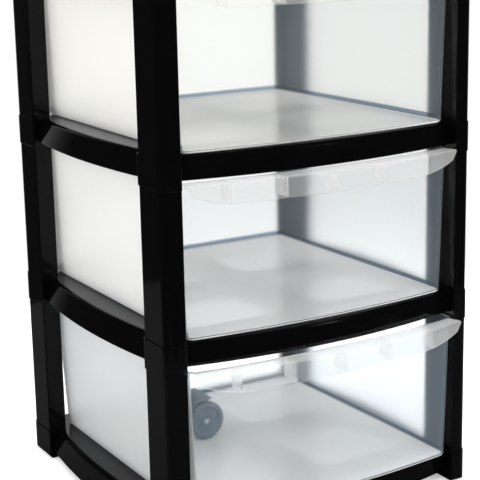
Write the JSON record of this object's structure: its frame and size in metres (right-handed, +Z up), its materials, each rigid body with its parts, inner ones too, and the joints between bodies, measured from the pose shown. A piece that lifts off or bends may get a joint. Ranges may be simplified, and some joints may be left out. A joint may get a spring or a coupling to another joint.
{
  "type": "drawer tower",
  "caption": "Plastic tower of deep clear drawers with bowed fronts and full-width pull hoods, in a glossy black frame of stacked shelves and corner posts.",
  "frame": {"origin": "on the floor, under the middle of the box that holds the tower at rest", "axes": "+Z up; the drawers' fronts face -Y; +X to the right as seen from the front"},
  "size_m": [0.402, 0.4124, 0.621],
  "materials": {
    "black_frame": "glossy moulded black",
    "clear_drawer": "lightly frosted clear",
    "castor_plastic": "satin dark blue-grey",
    "castor_steel": "turned steel"
  },
  "bodies": {
    "tower": {"base_frame": "black_frame", "shelf_frame_lower": "black_frame", "shelf_frame_upper": "black_frame", "top_cover": "black_frame", "post_front_left_1": "black_frame", "post_front_right_1": "black_frame", "post_back_left_1": "black_frame", "post_back_right_1": "black_frame", "post_front_left_2": "black_frame", "post_front_right_2": "black_frame", "post_back_left_2": "black_frame", "post_back_right_2": "black_frame", "post_front_left_3": "black_frame", "post_front_right_3": "black_frame", "post_back_left_3": "black_frame", "post_back_right_3": "black_frame", "castor_sleeve_front_left": "black_frame", "castor_sleeve_front_right": "black_frame", "castor_sleeve_back_left": "black_frame", "castor_sleeve_back_right": "black_frame"},
    "bottom_drawer": {"drawer_bottom": "clear_drawer", "castor_hood": "castor_plastic", "castor_axle": "castor_steel"},
    "middle_drawer": {"drawer_middle": "clear_drawer"},
    "top_drawer": {"drawer_top": "clear_drawer"},
    "left_castor_wheel": {"castor_wheel_left": "castor_plastic"},
    "right_castor_wheel": {"castor_wheel_right": "castor_plastic"},
    "castor_swivel": {"castor_stem": "castor_steel"}
  },
  "joints": [
    {"name": "bottom_drawer_slide", "type": "slide", "parent": "tower", "child": "bottom_drawer", "axis": [0, -1, 0], "range_m": [-0.012, 0.2475]},
    {"name": "middle_drawer_slide", "type": "slide", "parent": "tower", "child": "middle_drawer", "axis": [0, -1, 0], "range_m": [0, 0.26]},
    {"name": "top_drawer_slide", "type": "slide", "parent": "tower", "child": "top_drawer", "axis": [0, -1, 0], "range_m": [0, 0.26]},
    {"name": "left_wheel_spin", "type": "hinge", "parent": "bottom_drawer", "child": "left_castor_wheel", "pos_m": [-0.046, 0.04075, 0.0628], "axis": [0, 1, 0], "continuous": true},
    {"name": "right_wheel_spin", "type": "hinge", "parent": "bottom_drawer", "child": "right_castor_wheel", "pos_m": [-0.046, 0.04075, 0.0628], "axis": [0, 1, 0], "continuous": true},
    {"name": "stem_swivel", "type": "hinge", "parent": "bottom_drawer", "child": "castor_swivel", "pos_m": [-0.07, 0.04075, 0.0988], "axis": [0, 0, 1], "continuous": true}
  ]
}
